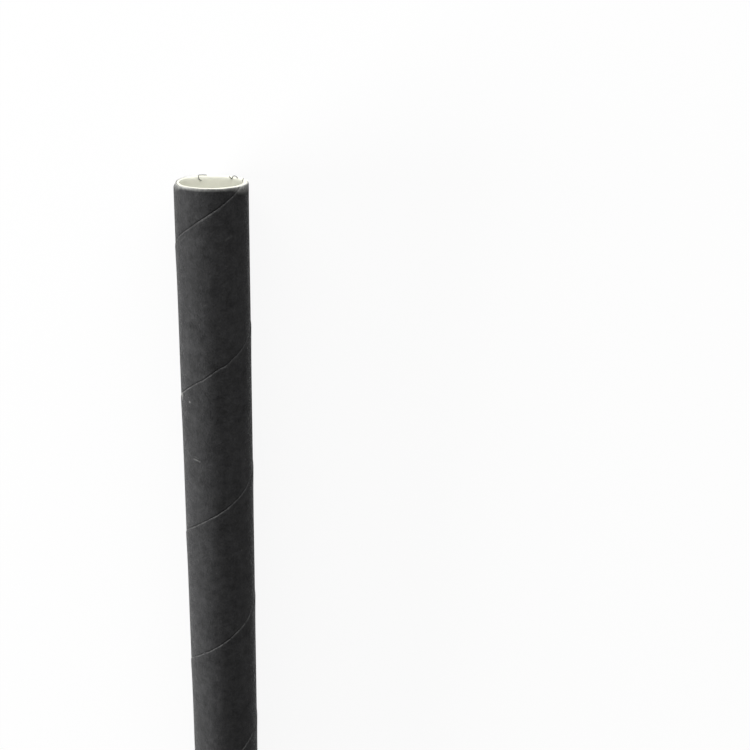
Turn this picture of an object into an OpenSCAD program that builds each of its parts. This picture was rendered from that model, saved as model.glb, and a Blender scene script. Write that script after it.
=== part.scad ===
// Spiral-wound paper drinking straw, lying on its side with its mouth towards +Y.
// A white tube of glued paper plies is covered by one black paper strip. The strip is wound on as a
// right-handed helix. Its upper edge is glued over the lower edge of the turn above it, so a fine
// step climbs round the straw, with a thin channel beneath where the strip comes back to the tube.
// The step is pressed flat along the line that the straw lies on.

/* [Straw] */
// Length of the straw between its two cut ends
straw_length = 197; // [100:1:260]
// Diameter of the hole that the drink passes through
bore_d = 6.6; // [4:0.1:12]
// Thickness of the white inner tube
core_wall = 0.54; // [0.3:0.02:0.8]
// Thickness of the black outer strip
ply_wall = 0.16; // [0.14:0.01:0.24]

/* [Seam] */
// Distance along the straw from one turn of the seam to the next
wind_pitch = 17.5; // [12:0.5:30]
// Width of the overlap, along the straw
lap_width = 1.2; // [0.8:0.1:2]
// Distance past the overlap in which the strip comes down onto the tube
ease_width = 1; // [0.8:0.1:2]
// How far the cut edge of the strip stands above the turn that it is glued to
seam_step = 0.075; // [0.07:0.005:0.14]
// Where the seam meets the mouth, counted from +X towards +Z
seam_angle = 31; // [0:1:359]

/* [Hidden] */
$fn = 96;

core_r = bore_d / 2 + core_wall;
ply_r = core_r + ply_wall;

// The seam is a row of short facets, which stray from the true helix by no more than facet_sag
facet_sag = 0.0155;
facets_per_turn = 2 * ceil(90 / acos(1 - facet_sag / ply_r));
facet_arc = 360 / facets_per_turn;
edge_r = ply_r + seam_step;

// The line that the straw lies on, as it is drawn upright, passes through a corner of each turn.
// There the overlap is pressed flat, and the rest is the share of the edge's height that is left.
rest_corner = 90;
rest_share = 0.19;
rest_height = ply_r + rest_share * seam_step;

// Angle of the seam's edge where it leaves the mouth, seen from the mouth's end as it is drawn upright
mouth_arc = -seam_angle;
foot_arc = mouth_arc - 360 * straw_length / wind_pitch;
first_arc = rest_corner + facet_arc * floor((foot_arc - rest_corner) / facet_arc);
seam_facets = ceil((mouth_arc - first_arc) / facet_arc);

// Heights of the overlap above the turn beside it: at its edge, where the lap ends and at its foot
lap_h = 0.7 * seam_step;
foot_h = 0.45 * seam_step;
// How deep the overlap is set into the strip's wall, and how far the channel's cutter reaches out of it
root = ply_wall / 2;

lap_arc = 360 * lap_width / wind_pitch;
ease_arc = 360 * ease_width / wind_pitch;

function on_arc(r, a) = [r * cos(a), r * sin(a)];
function arc_back(r, a0, a1, steps) = [for (i = [steps : -1 : 0]) on_arc(r, a0 + (a1 - a0) * i / steps)];

lap_outline = concat(
    [
        on_arc(edge_r, 0),
        on_arc(ply_r + (seam_step + lap_h) / 2, lap_arc / 2),
        on_arc(ply_r + lap_h, lap_arc),
        on_arc(ply_r + (lap_h + foot_h) / 2, lap_arc + ease_arc / 2),
        on_arc(ply_r + foot_h, lap_arc + ease_arc)
    ],
    arc_back(ply_r - root, 0, lap_arc + ease_arc, 3)
);
channel_outline = concat(
    [
        on_arc(core_r + lap_h, lap_arc),
        on_arc(core_r + (lap_h + foot_h) / 2, lap_arc + ease_arc / 2),
        on_arc(core_r + foot_h, lap_arc + ease_arc)
    ],
    arc_back(core_r - root, lap_arc, lap_arc + ease_arc, 1)
);

// A round wall, turned a little so that the line where its surface closes misses the seam's corners
module tube(outer_r, inner_r) {
    end_cut = 1;
    rotate([0, 0, facet_arc / 4])
        difference() {
            cylinder(h = straw_length, r = outer_r);
            translate([0, 0, -end_cut]) cylinder(h = straw_length + 2 * end_cut, r = inner_r);
        }
}

// Sweeps an outline that lies across the straw along the seam, from below the foot to above the mouth
module along_seam() {
    facet_rise = facet_arc * wind_pitch / 360;
    translate([0, 0, straw_length + (first_arc - mouth_arc) * wind_pitch / 360])
        rotate([0, 0, first_arc])
            linear_extrude(
                height = seam_facets * facet_rise,
                twist = -seam_facets * facet_arc,
                slices = seam_facets,
                segments = 1
            )
                children();
}

// The room between the two cut ends, down to the surface that the straw will lie on
module pressed_between_ends() {
    reach = 2 * ply_r;
    translate([-reach, -reach, 0])
        cube([2 * reach, reach + rest_height, straw_length]);
}

// Lays an upright straw on its side, with its middle over the origin
module laid_down() {
    translate([0, -straw_length / 2, rest_height])
        rotate([-90, 0, 0])
            children();
}

module outer_ply() {
    color([0.1, 0.1, 0.1])
        laid_down()
            difference() {
                union() {
                    tube(ply_r, core_r);
                    intersection() {
                        along_seam() polygon(lap_outline);
                        pressed_between_ends();
                    }
                }
                along_seam() polygon(channel_outline);
            }
}

module inner_tube() {
    color([0.9, 0.89, 0.82])
        laid_down()
            tube(core_r, bore_d / 2);
}

outer_ply();
inner_tube();
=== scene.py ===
import math

import bmesh
import bpy
import numpy as np
from mathutils import Matrix, Vector, noise


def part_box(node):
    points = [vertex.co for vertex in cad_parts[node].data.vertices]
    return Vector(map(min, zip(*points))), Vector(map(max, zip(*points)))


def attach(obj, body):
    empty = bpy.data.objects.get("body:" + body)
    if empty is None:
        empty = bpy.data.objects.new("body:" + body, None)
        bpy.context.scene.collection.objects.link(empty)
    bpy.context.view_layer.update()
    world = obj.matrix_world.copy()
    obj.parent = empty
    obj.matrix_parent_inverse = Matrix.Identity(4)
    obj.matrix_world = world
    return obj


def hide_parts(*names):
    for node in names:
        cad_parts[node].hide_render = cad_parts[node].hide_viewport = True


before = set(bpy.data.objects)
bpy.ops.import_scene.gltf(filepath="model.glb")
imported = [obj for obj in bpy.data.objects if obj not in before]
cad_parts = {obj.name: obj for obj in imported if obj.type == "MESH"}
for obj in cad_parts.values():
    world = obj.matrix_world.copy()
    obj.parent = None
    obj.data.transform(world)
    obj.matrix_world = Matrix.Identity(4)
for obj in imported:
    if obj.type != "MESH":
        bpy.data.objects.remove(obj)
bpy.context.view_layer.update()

# The outer strip: one ribbon of matt black paper, wound round the tube as a right-handed helix.
# The upper edge of each turn is glued over the lower edge of the turn above it, so its cut edge
# climbs round the straw as a fine line with a crevice above it. The line is slightly paler and also
# carries a painted highlight, and the crevice is darkened with painted shade.
mm = 0.001
tube_low, tube_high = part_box("inner_tube")
mouth_y, foot_y = tube_high.y, tube_low.y
axis_z = (tube_low.z + tube_high.z) / 2
tube_r = (tube_high.x - tube_low.x) / 2
bore_r = 3.3 * mm
strip_wall = 0.16 * mm
strip_r = tube_r + strip_wall

# The winding: its pitch, the overlap of its turns, and where its edge meets the mouth
pitch = 17.5 * mm
lap = 1.2 * mm
mouth_seam = math.radians(31)
turn_length = 2 * math.pi * strip_r


def rough(x, wave, row):
    """Smooth noise from about -1 to 1 along a line, with the given length of wave. Each row differs."""
    return 1.6 * noise.noise(Vector((x / wave, row * 7.31, 0.37 + row)))


# Where the cut edge strays from a true helix (mm, down the straw), by turns from the mouth
stray_turns = [
    -1.3, 0.0, 0.33, 0.9, 1.0, 1.1, 1.13, 1.19, 1.3, 1.45, 1.9, 2.09, 2.2, 2.33, 2.6, 3.2, 13.0,
]
strays = [
    0.0, 0.1, 0.05, 0.25, 0.33, 0.38, 0.17, 0.27, 0.11, 0.2, 0.12, 0.17, 0.05, -0.15, 0.0, 0.06, 0.0,
]


def cut_line(turn):
    """How far down the straw the cut edge lies from a true helix, in long strays and fine kinks."""
    x = turn * turn_length
    kinks = 0.05 * rough(x, 4.3 * mm, 1) + 0.045 * rough(x, 1.3 * mm, 2) + 0.024 * rough(x, 0.5 * mm, 3)
    return (float(np.interp(turn, stray_turns, strays)) + kinks) * mm


def edge_lift(turn):
    """How far the glue has let the cut edge rise, with one torn burr at the second turn's left."""
    x = turn * turn_length
    burr_turn, burr_half, burr_height = 1.343, 0.009, 0.09
    burr = burr_height * math.exp(-(((turn - burr_turn) / burr_half) ** 2))
    return (0.010 * rough(x, 2.6 * mm, 4) + 0.007 * rough(x, 0.8 * mm, 5) + burr) * mm


# A knock has pushed the wall in at the left of the mouth: how far at the outside, what share of that
# at the bore, how far down the straw, and over which part of the round, by the cosine of the angle
# from the left
dent_in = 0.24 * mm
dent_at_bore = 0.15
dent_length = 0.5 * mm
dent_from, dent_full = 0.74, 0.98


def dented(x, y, z):
    """The place of a point of the wall, once it has been knocked in."""
    radius = math.hypot(x, z - axis_z)
    into = max(0.0, 1 - (mouth_y - y) / dent_length)
    left = min(max(0.0, (-x / radius - dent_from) / (dent_full - dent_from)), 1.0)
    smooth = left * left * (3 - 2 * left)
    outside = min(max(0.0, (radius - bore_r) / (strip_r - bore_r)), 1.0)
    share = dent_at_bore + (1 - dent_at_bore) * outside
    kept = 1 - dent_in / radius * into * smooth * share
    return x * kept, y, axis_z + (z - axis_z) * kept


# The cut edge stands proud of the turn that it is glued to. Just above it that turn sinks into a
# crevice, and deeper where it is covered. Below the lap the strip eases down onto the tube.
edge_step = 0.055 * mm
crevice_depth = 0.04 * mm
crevice_width = 0.14 * mm
covered_depth = 0.078 * mm
covered_from = 0.1 * mm
glued_under = 0.074 * mm
ease_width = 0.9 * mm
bedded = 0.97 * strip_wall


def strip_top(t):
    """Radius of the strip's outer side, at t below its upper edge."""
    raised = np.interp(
        t / mm,
        [0, 0.04, 0.1, 0.18, 0.28, 0.6, 1.2, 2, 3, 4.6, 6],
        [-0.3, 0.2, 0.6, 0.93, 1, 0.9, 0.75, 0.5, 0.25, 0.06, 0],
    )
    sunk_at = [0, pitch - crevice_width, pitch, pitch + covered_from]
    return strip_r + raised * edge_step - np.interp(t, sunk_at, [0, 0, crevice_depth, covered_depth])


def strip_bottom(t):
    """Radius of the strip's glued side, on the turn above for the lap's width and then on the tube."""
    return np.interp(t, [lap, lap + ease_width], [strip_r - glued_under, strip_r - bedded])


# Rows of points across the strip, by their distance below its upper edge: down its outer side, and
# back up its glued side
rows_top = np.concatenate([
    [0, 0.02, 0.04, 0.07, 0.1, 0.14, 0.18, 0.23, 0.28, 0.4, 0.6, 0.9, 1.3, 1.7, 2.3, 3.1],
    np.arange(4.0, 16.4, 1.2),
    [16.6, 17.0, 17.2, 17.32, 17.4, 17.45, 17.5, 17.55, 17.62, 18.1, 18.7],
]) * mm
rows_bottom = np.array([18.7, 18.0, 14.0, 10.0, 6.0, 2.6, 2.1, 1.6, 1.2, 0.6, 0.2, 0.0]) * mm
steps_per_turn = 140
straw_turns = (mouth_y - foot_y) / pitch
turns = np.arange(-1.25, straw_turns + 0.15, 1 / steps_per_turn)
stray_reach = 2.2 * mm
lift_reach = 0.45 * mm

# How clearly the cut edge shows, by turns from the mouth: the glue hides it in places
clear_turns = [
    -1.2, 0.0, 0.12, 0.145, 0.19, 0.21, 0.23, 0.275, 0.33, 0.9, 1.0, 1.09, 1.115, 1.135, 1.18, 1.2,
    1.235, 1.26, 1.285, 1.33, 1.39, 1.42, 1.6, 2.0, 2.09, 2.12, 2.165, 2.19, 2.22, 2.27, 2.34, 2.6, 3.5,
]
clear_levels = [
    0.8, 0.7, 0.7, 1.3, 1.3, 0.7, 0.6, 1.0, 0.8, 0.4, 0.25, 0.3, 0.7, 0.25, 1.0, 0.5,
    1.0, 0.7, 1.8, 1.4, 2.4, 1.6, 0.9, 0.5, 0.6, 1.0, 1.2, 0.5, 0.9, 1.1, 0.8, 0.8, 1.2,
]

verts, below_edge, edge_clear = [], [], []
for turn in turns:
    angle = mouth_seam + 2 * math.pi * turn
    along = mouth_y - pitch * turn
    own_cut, next_cut, lift = cut_line(turn), cut_line(turn + 1), edge_lift(turn)
    own_level = float(np.interp(turn, clear_turns, clear_levels))
    next_level = float(np.interp(turn + 1, clear_turns, clear_levels))
    for outside, rows in ((True, rows_top), (False, rows_bottom)):
        radii = strip_top(rows) if outside else strip_bottom(rows)
        for t, r in zip(rows, radii):
            near_own = max(0.0, 1 - t / stray_reach)
            near_next = max(0.0, 1 - abs(t - pitch) / stray_reach)
            y = along - t - own_cut * near_own - next_cut * near_next
            r += lift * max(0.0, 1 - t / lift_reach) ** 1.5
            if outside:
                spot = Vector((math.cos(angle) * strip_r, y, math.sin(angle) * strip_r)) / mm
                r += (0.009 * noise.noise(spot / 7) + 0.005 * noise.noise(spot / 1.9)) * mm
            # where the straw lies on its cut edge, the edge is pressed flat
            z = max(axis_z + r * math.sin(angle), 0.0)
            verts.append((r * math.cos(angle), y, z))
            below_edge.append(t / mm)
            edge_clear.append(own_level if t < pitch / 2 else next_level)

ring = len(rows_top) + len(rows_bottom)
faces = []
for i in range(len(turns) - 1):
    for j in range(ring):
        k = (j + 1) % ring
        faces.append((i * ring + j, (i + 1) * ring + j, (i + 1) * ring + k, i * ring + k))

strip_mesh = bpy.data.meshes.new("outer_strip")
strip_mesh.from_pydata(verts, [], faces)
for name, values in (("below_edge", below_edge), ("edge_clear", edge_clear)):
    strip_mesh.attributes.new(name, "FLOAT", "POINT").data.foreach_set("value", values)

# The straw is cut to length square across. The blade leaves each end slightly ragged, and presses
# its outer corner round.
ragged_depth = 0.04 * mm
pressed_in = 0.05 * mm
pressed_length = 0.35 * mm
pressed_from_r = tube_r + 0.05 * mm
sharp_angle = math.radians(35)
rows_at_end = (0.05 * mm, 0.12 * mm, 0.22 * mm, pressed_length)

bm = bmesh.new()
bm.from_mesh(strip_mesh)
bmesh.ops.recalc_face_normals(bm, faces=bm.faces)
for end_y, outward in ((mouth_y, 1), (foot_y, -1)):
    cut = bmesh.ops.bisect_plane(
        bm,
        geom=bm.verts[:] + bm.edges[:] + bm.faces[:],
        plane_co=(0, end_y, 0),
        plane_no=(0, outward, 0),
        clear_outer=True,
    )
    rim_edges = [g for g in cut["geom_cut"] if isinstance(g, bmesh.types.BMEdge)]
    bmesh.ops.triangle_fill(bm, use_beauty=True, edges=rim_edges)
    for depth in rows_at_end:
        bmesh.ops.bisect_plane(
            bm,
            geom=bm.verts[:] + bm.edges[:] + bm.faces[:],
            plane_co=(0, end_y - outward * depth, 0),
            plane_no=(0, outward, 0),
        )
    for v in {v for e in rim_edges for v in e.verts}:
        around = math.atan2(v.co.z - axis_z, v.co.x) * strip_r
        ragged = 0.5 + 0.4 * rough(around, 0.9 * mm, 8) + 0.3 * rough(around, 0.3 * mm, 9)
        v.co.y -= outward * ragged_depth * max(0.0, ragged)
    for v in bm.verts:
        into = 1 - abs(end_y - v.co.y) / pressed_length
        radius = math.hypot(v.co.x, v.co.z - axis_z)
        if into > 0 and radius > pressed_from_r:
            pressed = pressed_in * into * into
            v.co.x -= v.co.x / radius * pressed
            v.co.z -= (v.co.z - axis_z) / radius * pressed
for v in bm.verts:
    v.co = dented(*v.co)
bmesh.ops.recalc_face_normals(bm, faces=bm.faces)
bm.to_mesh(strip_mesh)
bm.free()
strip_mesh.shade_smooth()
strip_mesh.set_sharp_from_angle(angle=sharp_angle)
outer_strip = bpy.data.objects.new("outer_strip", strip_mesh)
bpy.context.scene.collection.objects.link(outer_strip)
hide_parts("outer_ply")
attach(outer_strip, "root")


class Wire:
    """A value that runs over a surface: a node's socket, with Python's operators for the sums."""

    def __init__(self, tree, socket):
        self.tree, self.socket = tree, socket

    def node(self, kind, settings=(), inputs=(), output=0):
        """Adds any node: its settings first, then its inputs, which are numbers, colours or wires."""
        made = self.tree.nodes.new(kind)
        for key, value in dict(settings).items():
            setattr(made, key, value)
        for key, value in dict(inputs).items():
            if isinstance(value, Wire):
                self.tree.links.new(value.socket, made.inputs[key])
            else:
                made.inputs[key].default_value = value
        return Wire(self.tree, made.outputs[output])

    def sum(self, operation, *values):
        return self.node("ShaderNodeMath", {"operation": operation}, enumerate(values))

    def vector(self, operation, *values, output=0):
        return self.node("ShaderNodeVectorMath", {"operation": operation}, enumerate(values), output)

    def __add__(self, other):
        return self.sum("ADD", self, other)

    def __sub__(self, other):
        return self.sum("SUBTRACT", self, other)

    def __rsub__(self, other):
        return self.sum("SUBTRACT", other, self)

    def __mul__(self, other):
        return self.sum("MULTIPLY", self, other)

    __radd__, __rmul__ = __add__, __mul__

    def rise(self, start, end):
        """0 at start, 1 at end, smooth between them. start may be the larger."""
        settings = {"interpolation_type": "SMOOTHSTEP", "clamp": True}
        inputs = {"Value": self, "From Min": start, "From Max": end}
        return self.node("ShaderNodeMapRange", settings, inputs)

    def shade(self, colour_a, colour_b):
        """Colour a where this is 0, colour b where it is 1."""
        settings = {"data_type": "RGBA", "clamp_factor": True}
        inputs = {"Factor": self, 6: colour_a, 7: colour_b}
        return self.node("ShaderNodeMix", settings, inputs, output=2)


class Finish:
    """A new material, with the wires that its shader is made from. Its places are in millimetres."""

    def __init__(self, name, specular):
        self.material = bpy.data.materials.new(name)
        self.material.use_nodes = True
        self.tree = self.material.node_tree
        self.shader = self.tree.nodes["Principled BSDF"]
        self.shader.inputs["Specular IOR Level"].default_value = specular
        self.start = Wire(self.tree, None)
        place = self.start.node("ShaderNodeTexCoord", output="Object")
        self.place = self.start.vector("MULTIPLY", place, (1 / mm, 1 / mm, 1 / mm))
        self.x, self.y, self.z = (
            self.start.node("ShaderNodeSeparateXYZ", inputs={0: self.place}, output=k) for k in range(3)
        )

    def grain(self, per_mm, detail=3.0, roughness=0.55, stretch=(1, 1, 1)):
        """Noise from 0 to 1 with that many waves in a millimetre."""
        place = self.start.vector("MULTIPLY", self.place, stretch)
        inputs = {"Vector": place, "Scale": per_mm, "Detail": detail, "Roughness": roughness}
        return self.start.node("ShaderNodeTexNoise", {"noise_dimensions": "3D"}, inputs)

    def specks(self, per_mm, radius):
        """1 in small round specks, about per_mm cubed of them in a cubic millimetre."""
        inputs = {"Vector": self.place, "Scale": per_mm, "Randomness": 1.0}
        spot = self.start.node("ShaderNodeTexVoronoi", {"feature": "F1"}, inputs)
        return spot.rise(radius, radius * 0.4)

    def scratch(self, start, end, half_width):
        """1 along a straight mark from start to end, falling to 0 at half_width beside it."""
        way = Vector(end) - Vector(start)
        away = self.start.vector("SUBTRACT", self.place, start)
        share = self.start.vector("DOT_PRODUCT", away, way / way.length_squared, output="Value")
        share = share.sum("MINIMUM", share.sum("MAXIMUM", share, 0.0), 1.0)
        across = self.start.node("ShaderNodeCombineXYZ", inputs={0: share, 1: share, 2: share})
        foot = self.start.vector("MULTIPLY", across, way)
        off = self.start.vector("SUBTRACT", away, foot)
        return self.start.vector("LENGTH", off, output="Value").rise(half_width, half_width * 0.3)

    def attribute(self, name):
        return self.start.node("ShaderNodeAttribute", {"attribute_name": name}, output="Fac")

    def finish(self, colour, roughness, height, bump_strength, bump_distance):
        inputs = {"Height": height, "Strength": bump_strength, "Distance": bump_distance}
        bump = self.start.node("ShaderNodeBump", (), inputs)
        for key, wire in (("Base Color", colour), ("Roughness", roughness), ("Normal", bump)):
            self.tree.links.new(wire.socket, self.shader.inputs[key])
        return self.material


black = Finish("black_paper", specular=0.02)
black.shader.inputs["Sheen Weight"].default_value = 0.25
black.shader.inputs["Sheen Roughness"].default_value = 0.2
t = black.attribute("below_edge")
clear = black.attribute("edge_clear")
clouds = black.grain(0.5, detail=3)
blotches = black.grain(1.3, detail=3, stretch=(1, 0.9, 1))
fibres = black.grain(5.5, detail=4, roughness=0.65, stretch=(1, 0.75, 1))
streaks = black.grain(1.7, detail=2, stretch=(1, 0.08, 1))
fine = black.grain(15, detail=2)
breaks = black.grain(2.4, detail=3)
ravel = black.grain(3.4, detail=3)

# The cut edge's pale line, which also carries a painted highlight, and the painted shade in its
# crevice, by the distance below the strip's upper edge (mm)
# paler cut fibres, widened into a painted highlight where the raised edge catches the light
pale_edge_and_highlight = (t + (ravel - 0.5) * 0.16).rise(0.24, 0.08) * clear * breaks.rise(0.3, 0.62)
crevice_painted_shade = t.rise(17.28, 17.42) * t.rise(17.74, 17.58) * (0.5 + breaks)

# The few marks that the straw has picked up: a dot, scratches and a streak; and a pale patch on the
# torn burr
marks = (
    black.scratch((-2.585, 74.285, 7.07), (-2.575, 74.275, 7.08), 0.16)
    + black.scratch((-3.1, 68.03, 6.53), (-2.65, 67.61, 7.0), 0.12) * (ravel * 0.35)
    + black.scratch((-2.28, 67.38, 7.3), (-1.95, 67.35, 7.5), 0.16) * (ravel * 0.8)
    + black.scratch((-1.95, 67.35, 7.5), (-1.58, 67.25, 7.7), 0.12) * (ravel * 0.7)
    + black.scratch((-2.2, 67.72, 7.36), (-1.8, 67.6, 7.59), 0.12) * (ravel * 0.35)
    + black.scratch((-2.98, 92.6, 6.68), (-2.4, 93.2, 7.2), 0.14) * (ravel * 0.35)
    + black.scratch((1.9, 93.0, 7.53), (2.45, 93.35, 7.17), 0.2) * (ravel * 0.3)
    # a pale patch over the torn burr
    + black.scratch((-3.62, 74.85, 5.93), (-3.68, 74.5, 5.82), 0.28)
    + black.scratch((-3.68, 74.5, 5.82), (-3.63, 74.1, 5.76), 0.24) * 0.5
)
specks = black.specks(0.55, 0.085)

# The cut has dragged white fibres of the tube over the strip's end. They make a grey bloom that fades
# down the side, longest at the right, where the seam starts, and at the left. Both cuts are fuzzy with
# them, and the middle of the dent is scuffed. At the mouth's far side the strip's end face is made
# whiter still with a painted highlight.
from_mouth = mouth_y / mm - black.y
from_foot = black.y - foot_y / mm
leftward = black.x.rise(-2.6, -3.7)
rightward = black.x.rise(2.4, 3.7)
# painted highlight: the strip's end face at the mouth's far side is whitened
far_face_highlight = black.z.rise(5.0, 4.1) * black.x.rise(3.95, 3.6)
reach = 0.42 + leftward * 0.45 + rightward * 0.7
whiteness = (ravel * 0.44 + breaks * 0.26 - 0.12) * (1 + rightward * 0.35 - leftward * 0.4)
bloom = from_mouth.rise(reach, 0.0) * whiteness
# white cut fibres at both ends' faces, plus a painted highlight on the mouth's far side
end_fuzz_and_highlight = from_mouth.rise(0.1, 0.05) * (0.25 + far_face_highlight * 0.65)
dent_middle = black.z.rise(3.0, 3.6) * black.z.rise(5.0, 4.1)
scuffed = from_mouth.rise(0.35, 0.1) * leftward * (dent_middle * 0.65)
foot_fuzz = from_foot.rise(0.1, 0.045) * (ravel * 0.8)

# The stray fibres below have no edge_clear, so on_strip is 0 there, and they stay black
dark_dye = (0.0105, 0.0105, 0.0107, 1)
pale_dye = (0.056, 0.056, 0.0571, 1)
# painted shade for the crevice above the cut edge
crevice_shade_colour = (0.008, 0.008, 0.008, 1)
# paler cut fibres with a painted highlight along the cut edge
edge_pale_and_highlight_colour = (0.12, 0.12, 0.117, 1)
mark_colour = (0.14, 0.14, 0.137, 1)
# white of the cut fibres, also used for the painted highlight on the far end face
fibre_and_highlight_white = (0.8, 0.8, 0.76, 1)
tone = clouds * 0.5 + blotches * 0.7 + fibres * 0.8 + streaks * 0.22 - 0.615
dyed = tone.shade(dark_dye, pale_dye)
# painted shade darkens the crevice above the cut edge
crevice_shaded = (crevice_painted_shade * 0.45).shade(dyed, crevice_shade_colour)
# the cut edge's pale line: partly paler fibres, partly a painted highlight
with_edge_highlight = (pale_edge_and_highlight * 0.4).shade(crevice_shaded, edge_pale_and_highlight_colour)
marked = (marks + specks * 0.2).shade(with_edge_highlight, mark_colour)
on_strip = clear.rise(0.0, 0.15)
frayed_and_highlighted = ((bloom + end_fuzz_and_highlight + scuffed + foot_fuzz) * on_strip).shade(marked, fibre_and_highlight_white)
black_paper = black.finish(
    frayed_and_highlighted,
    0.55 + fibres * 0.2,
    fibres * 0.9 + fine * 0.2 + blotches * 0.9 + streaks * 0.15,
    1.0,
    0.09 * mm,
)
strip_mesh.materials.append(black_paper)

# Stray fibres of the strip: at the cut a few black hairs have curled over the far rim and hang
# against the inner wall. Each is a line of points: angle round the axis, depth in the mouth, radius.
hair_r = 0.034 * mm
hairs = (
    (
        (-118, -0.06, 3.78), (-122, -0.05, 3.36), (-122.7, 0.2, 3.27),
        (-120.5, 0.37, 3.265), (-117, 0.47, 3.27),
    ),
    ((-119, -0.06, 3.66), (-112.6, -0.07, 3.7), (-106, -0.05, 3.5)),
    (
        (-63, -0.05, 3.42), (-58, 0.08, 3.27), (-55.4, 0.19, 3.265), (-53.4, 0.0, 3.28),
        (-57, -0.07, 3.66), (-55.5, -0.08, 3.8), (-49, -0.07, 3.66), (-39, -0.04, 3.36),
    ),
    ((-29, -0.06, 3.7), (-20.8, -0.07, 3.5), (-9, -0.04, 3.33)),
)
hair_curve = bpy.data.curves.new("stray_fibres", "CURVE")
hair_curve.dimensions = "3D"
hair_curve.bevel_depth = hair_r
hair_curve.bevel_resolution = 2
hair_curve.use_fill_caps = True
for hair in hairs:
    spline = hair_curve.splines.new("NURBS")
    spline.points.add(len(hair) - 1)
    spline.use_endpoint_u = True
    spline.order_u = 3
    spline.resolution_u = 6
    for point, (angle, depth, r) in zip(spline.points, hair):
        a = math.radians(angle)
        point.co = (r * mm * math.cos(a), mouth_y - depth * mm, axis_z + r * mm * math.sin(a), 1)
stray_fibres = bpy.data.objects.new("stray_fibres", hair_curve)
bpy.context.scene.collection.objects.link(stray_fibres)
hair_curve.materials.append(black_paper)
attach(stray_fibres, "root")

# The inner tube: several plies of uncoated white food paper, glued into one stiff wall.
# The cut drags its fibres into a soft, slightly raised rim at both ends. The rim's profile runs from
# the bore to the outside, as radius and depth below the cut (mm).
tube_columns = 240
rim_profile = [
    (3.3, 1.6), (3.303, 0.9), (3.312, 0.5), (3.332, 0.27), (3.37, 0.13),
    (3.42, 0.055), (3.48, 0.01), (3.56, -0.014), (3.65, -0.018), (3.74, -0.008),
    (3.8, 0.008), (3.828, 0.04), (3.836, 0.12), (3.836, 0.3), (3.836, 0.6),
]
frayed_depth = 0.3 * mm
frayed_out = 0.012 * mm
frayed_up = 0.018 * mm
bore_rows = np.linspace(mouth_y - 3 * mm, foot_y + 3 * mm, 40)


def tube_ring(r, y, frayed_share):
    """One ring of the wall. Near the rim the cut fibres make it uneven."""
    made = []
    for k in range(tube_columns):
        a = 2 * math.pi * k / tube_columns
        x = a * r
        uneven = 0.6 * rough(x, 0.8 * mm, 11) + 0.4 * rough(x, 0.27 * mm, 12)
        rr = r + frayed_share * frayed_out * rough(x, 0.6 * mm, 13)
        yy = y + frayed_share * frayed_up * uneven
        made.append(dented(rr * math.cos(a), yy, axis_z + rr * math.sin(a)))
    return made


rings = []
for end_y, inward, profile in ((mouth_y, -1, rim_profile), (foot_y, 1, rim_profile[::-1])):
    for r, depth in profile:
        share = max(0.0, 1 - abs(depth) * mm / frayed_depth)
        rings.append(tube_ring(r * mm, end_y + inward * depth * mm, share))
for y in bore_rows[::-1]:
    rings.append(tube_ring(bore_r, y, 0))

tube_verts = [v for made in rings for v in made]
tube_faces = []
for i in range(len(rings)):
    n = (i + 1) % len(rings) * tube_columns
    for k in range(tube_columns):
        m = (k + 1) % tube_columns
        tube_faces.append((i * tube_columns + k, i * tube_columns + m, n + m, n + k))
tube_mesh = bpy.data.meshes.new("white_wall")
tube_mesh.from_pydata(tube_verts, [], tube_faces)
bm = bmesh.new()
bm.from_mesh(tube_mesh)
bmesh.ops.recalc_face_normals(bm, faces=bm.faces)
bm.to_mesh(tube_mesh)
bm.free()
tube_mesh.shade_smooth()
white_wall = bpy.data.objects.new("white_wall", tube_mesh)
bpy.context.scene.collection.objects.link(white_wall)
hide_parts("inner_tube")
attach(white_wall, "root")

white = Finish("white_paper", specular=0.3)
pulp = white.grain(4.5, detail=5, roughness=0.7)
haze = white.grain(0.5, detail=3)

# Cream inside and white at the cut. A little further in at the left and right, painted light whitens
# the inner wall's sides.
end_gap = white.y.sum("MINIMUM", mouth_y / mm - white.y, white.y - foot_y / mm)
# painted light: the inner wall's left and right sides are whitened near the ends
side_painted_light = white.x.sum("ABSOLUTE", white.x).rise(0.6, 2.5)
cut_and_side_light = (end_gap.rise(0.3, 0.04) + end_gap.rise(2.6, 0.6) * side_painted_light).sum("MINIMUM", 1.0)
dark_cream, pale_cream = (0.58, 0.573, 0.4, 1), (0.66, 0.653, 0.48, 1)
dark_white, pale_white = (0.87, 0.87, 0.85, 1), (0.95, 0.95, 0.94, 1)
cream = (pulp * 0.5 + haze * 0.5).shade(dark_cream, pale_cream)
# white of the cut, also used as painted light on the inner wall's sides
white_cut_and_side_light = pulp.shade(dark_white, pale_white)
white_paper = white.finish(
    cut_and_side_light.shade(cream, white_cut_and_side_light),
    0.7 + pulp * 0.2,
    pulp * 0.7 + haze * 0.3,
    0.4,
    0.05 * mm,
)
tube_mesh.materials.append(white_paper)

# The floor shows as a plain white sheet with a light shadow, and throws little light back at the
# straw. One soft box stands low at the left, and a wide one stands beyond the mouth and lights both
# sides of its inner wall.
floor_half = 0.85
floor_mesh = bpy.data.meshes.new("floor")
corners = ((-1, -1), (1, -1), (1, 1), (-1, 1))
floor_mesh.from_pydata([(x * floor_half, y * floor_half, 0) for x, y in corners], [], [(0, 1, 2, 3)])
floor = bpy.data.objects.new("floor", floor_mesh)
bpy.context.scene.collection.objects.link(floor)


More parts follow.
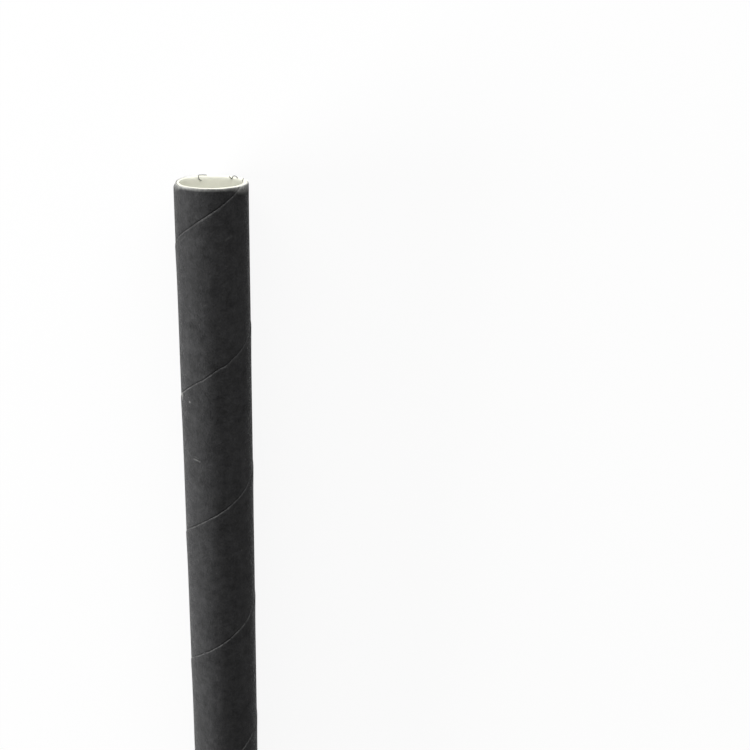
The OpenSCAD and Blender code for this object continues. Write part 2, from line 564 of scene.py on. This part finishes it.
def seen_white(tree, seen, other, output):
    """Shows one shader to rays of sight, reflection and transmission, and the other to the rest."""
    path = Wire(tree, None).node("ShaderNodeLightPath", output="Is Camera Ray")
    for kind in ("Is Glossy Ray", "Is Transmission Ray"):
        path = path.sum("MAXIMUM", path, path.node("ShaderNodeLightPath", output=kind))
    both = path.node("ShaderNodeMixShader", (), {0: path, 1: other, 2: seen})
    tree.links.new(both.socket, output.inputs["Surface"])


plain_white = (1, 1, 1, 1)
glow_share = 0.9
pale = Finish("pale_floor", specular=0.0)
pale.shader.inputs["Base Color"].default_value = (0.15, 0.15, 0.15, 1)
glow = pale.start.node("ShaderNodeEmission", (), {"Color": plain_white, "Strength": 1.0})
sheet = pale.start.node("ShaderNodeBsdfDiffuse", (), {"Color": plain_white})
shown = pale.start.node("ShaderNodeMixShader", (), {0: glow_share, 1: sheet, 2: glow})
lit = Wire(pale.tree, pale.shader.outputs[0])
seen_white(pale.tree, shown, lit, pale.tree.nodes["Material Output"])
floor_mesh.materials.append(pale.material)

world = bpy.data.worlds.new("studio")
world.use_nodes = True
world_tree = world.node_tree
world_tree.nodes["Background"].inputs["Color"].default_value = plain_white
world_tree.nodes["Background"].inputs["Strength"].default_value = 0.12
world_start = Wire(world_tree, None)
backdrop = world_start.node("ShaderNodeBackground", (), {"Color": plain_white, "Strength": 1.0})
fill = Wire(world_tree, world_tree.nodes["Background"].outputs[0])
seen_white(world_tree, backdrop, fill, world_tree.nodes["World Output"])
bpy.context.scene.world = world


def soft_box(name, place, width, height, watts):
    """A flat lamp that is aimed at the mouth's half of the straw."""
    lamp = bpy.data.lights.new(name, "AREA")
    lamp.shape, lamp.size, lamp.size_y, lamp.energy = "RECTANGLE", width, height, watts
    holder = bpy.data.objects.new(name, lamp)
    aim = Vector((0, mouth_y / 2, 0)) - Vector(place)
    holder.location = place
    holder.rotation_mode = "QUATERNION"
    holder.rotation_quaternion = aim.to_track_quat("-Z", "Y")
    bpy.context.scene.collection.objects.link(holder)


soft_box("key_light", (-0.9, -0.2, 0.14), 0.6, 0.28, 20.5)
soft_box("mouth_light", (0.0, 0.88, 0.3), 1.8, 0.6, 18.0)

# The camera stands where the photograph's did, seen from the straw: the photograph's straw stands
# upright and leans a little towards the viewer, so here the camera looks down on it.
# The mouth's place and the straw's way from mouth to foot are given rightward, downward and forward.
photo_size = 750
focal_pixels = 1160
sensor = 36
mouth_from_camera = Vector((-17.53, -20.68, 124.02)) * mm
straw_way = Vector((-0.0225, 0.9372, 0.3482)).normalized()
across = straw_way.cross(Vector((0, 0, 1))).normalized()
towards = straw_way.cross(across)
right = Vector((across.x, -straw_way.x, towards.x))
down = Vector((across.y, -straw_way.y, towards.y))
forward = Vector((across.z, -straw_way.z, towards.z))
camera_data = bpy.data.cameras.new("camera")
camera_data.sensor_width = sensor
camera_data.lens = sensor * focal_pixels / photo_size
camera_data.clip_start, camera_data.clip_end = 0.005, 20
camera = bpy.data.objects.new("camera", camera_data)
mouth_centre = Vector((0, mouth_y, axis_z))
place = mouth_centre - (
    right * mouth_from_camera.x + down * mouth_from_camera.y + forward * mouth_from_camera.z
)
turned = Matrix((right, -down, -forward)).transposed().to_4x4()
camera.matrix_world = Matrix.Translation(place) @ turned
bpy.context.scene.collection.objects.link(camera)
bpy.context.scene.camera = camera
bpy.context.scene.view_settings.view_transform = "Standard"
